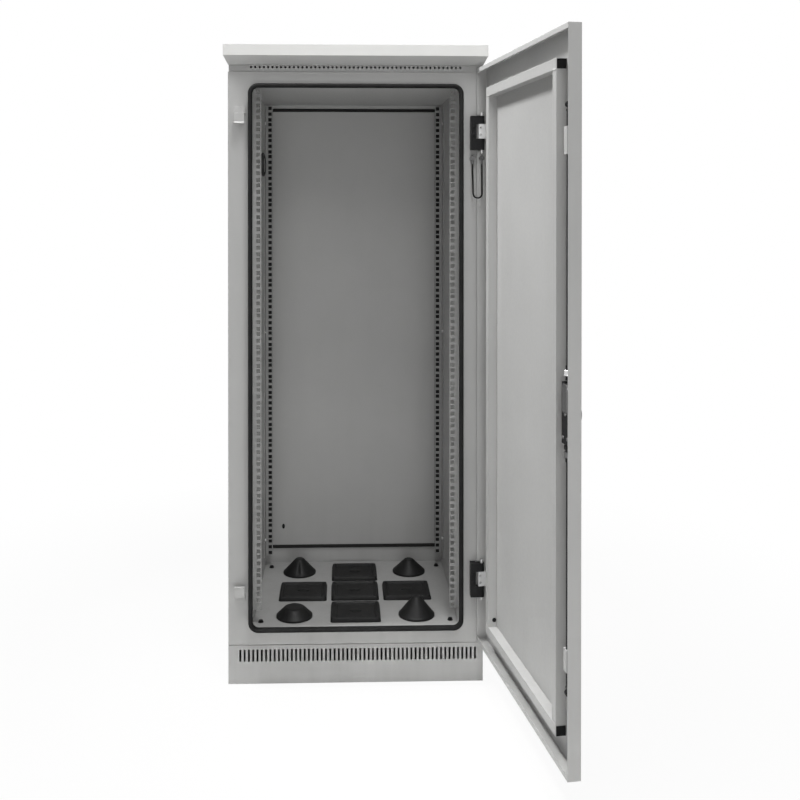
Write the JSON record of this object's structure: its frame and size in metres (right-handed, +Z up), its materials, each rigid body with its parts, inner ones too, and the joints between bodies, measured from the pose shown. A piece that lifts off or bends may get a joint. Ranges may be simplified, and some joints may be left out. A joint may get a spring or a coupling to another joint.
{
  "type": "roadside utility cabinet",
  "caption": "Outdoor double-walled rack cabinet on a slotted plinth, its front door standing open, with rod lock, rack rails and rubber cable entries in the floor.",
  "frame": {"origin": "middle of the plinth's footprint, on the ground, centre of the anchor pattern", "axes": "+Z up; -Y is the side with the door; +X is the hinge side"},
  "size_m": [0.6974, 1.1177, 1.4958],
  "materials": {
    "grey_powder_coat": "fine-textured light grey powder coat",
    "white_powder_coat": "white powder coat",
    "sealing_rubber": "matt black rubber",
    "entry_rubber": "matt black moulded rubber",
    "black_steel": "black coated steel",
    "black_plastic": "black moulded nylon",
    "lead_sheath": "black cable sheath",
    "zinc_steel": "bright zinc plated"
  },
  "bodies": {
    "cabinet": {"plinth_front": "grey_powder_coat", "plinth_rear": "grey_powder_coat", "plinth_left": "grey_powder_coat", "plinth_right": "grey_powder_coat", "plinth_bolts": "zinc_steel", "front_frame": "grey_powder_coat", "rear_frame": "grey_powder_coat", "inner_wall_left": "grey_powder_coat", "inner_wall_right": "grey_powder_coat", "ceiling_plate": "grey_powder_coat", "floor_plate": "grey_powder_coat", "outer_panel_left": "grey_powder_coat", "outer_panel_right": "grey_powder_coat", "rear_panel": "grey_powder_coat", "rear_seal": "sealing_rubber", "rear_panel_screws": "zinc_steel", "top_plate": "grey_powder_coat", "eave_strip": "grey_powder_coat", "roof_cap": "white_powder_coat", "roof_bolts": "zinc_steel", "door_gasket": "sealing_rubber", "rail_front_left": "grey_powder_coat", "rail_front_right": "grey_powder_coat", "rail_rear_left": "grey_powder_coat", "rail_rear_right": "grey_powder_coat", "rail_screws": "zinc_steel", "floor_screws": "black_steel", "cone_front_left": "entry_rubber", "cone_front_right": "entry_rubber", "cone_rear_left": "entry_rubber", "cone_rear_right": "entry_rubber", "plate_front": "entry_rubber", "plate_middle": "entry_rubber", "plate_rear": "entry_rubber", "plate_left": "entry_rubber", "plate_right": "entry_rubber", "keeper_upper": "grey_powder_coat", "keeper_lower": "grey_powder_coat", "hinge_bracket_upper": "black_steel", "hinge_bracket_lower": "black_steel", "hinge_pin_upper": "zinc_steel", "hinge_pin_lower": "zinc_steel", "earth_stud_frame": "zinc_steel", "earth_lead": "lead_sheath"},
    "door": {"door_pan": "grey_powder_coat", "door_stiffener": "grey_powder_coat", "tube_plugs": "black_plastic", "hinge_leaf_upper": "zinc_steel", "hinge_leaf_lower": "zinc_steel", "leaf_screws": "zinc_steel", "earth_stud_door": "zinc_steel", "rod_guide_upper": "grey_powder_coat", "rod_guide_lower": "grey_powder_coat", "lock_case": "black_steel", "lock_housing": "zinc_steel"},
    "lock": {"lock_barrel": "zinc_steel"},
    "rod_up": {"upper_rod": "black_steel"},
    "roller_up": {"upper_roller": "black_plastic"},
    "rod_down": {"lower_rod": "black_steel"},
    "roller_down": {"lower_roller": "black_plastic"}
  },
  "joints": [
    {"name": "door_hinge", "type": "hinge", "parent": "cabinet", "child": "door", "pos_m": [0.293, -0.264, 0.765], "axis": [0, 0, 1], "range_deg": [-98, 22]},
    {"name": "lock_turn", "type": "hinge", "parent": "door", "child": "lock", "pos_m": [0.37036, -0.82166, 0.745], "axis": [-0.9903, -0.1392, 0], "range_deg": [0, 90]},
    {"name": "upper_rod_slide", "type": "slide", "parent": "door", "child": "rod_up", "axis": [0, 0, 1], "range_m": [0, 0.0178]},
    {"name": "lower_rod_slide", "type": "slide", "parent": "door", "child": "rod_down", "axis": [0, 0, -1], "range_m": [0, 0.018]},
    {"name": "upper_roller_spin", "type": "hinge", "parent": "rod_up", "child": "roller_up", "pos_m": [0.37036, -0.82166, 1.295], "axis": [-0.1392, 0.9903, 0], "continuous": true},
    {"name": "lower_roller_spin", "type": "hinge", "parent": "rod_down", "child": "roller_down", "pos_m": [0.37036, -0.82166, 0.247], "axis": [-0.1392, 0.9903, 0], "continuous": true}
  ],
  "couplings": [
    {"joint": "lock_turn", "follows": "upper_rod_slide", "rad_per_m": 86.957},
    {"joint": "lower_rod_slide", "follows": "upper_rod_slide", "ratio": 1}
  ]
}
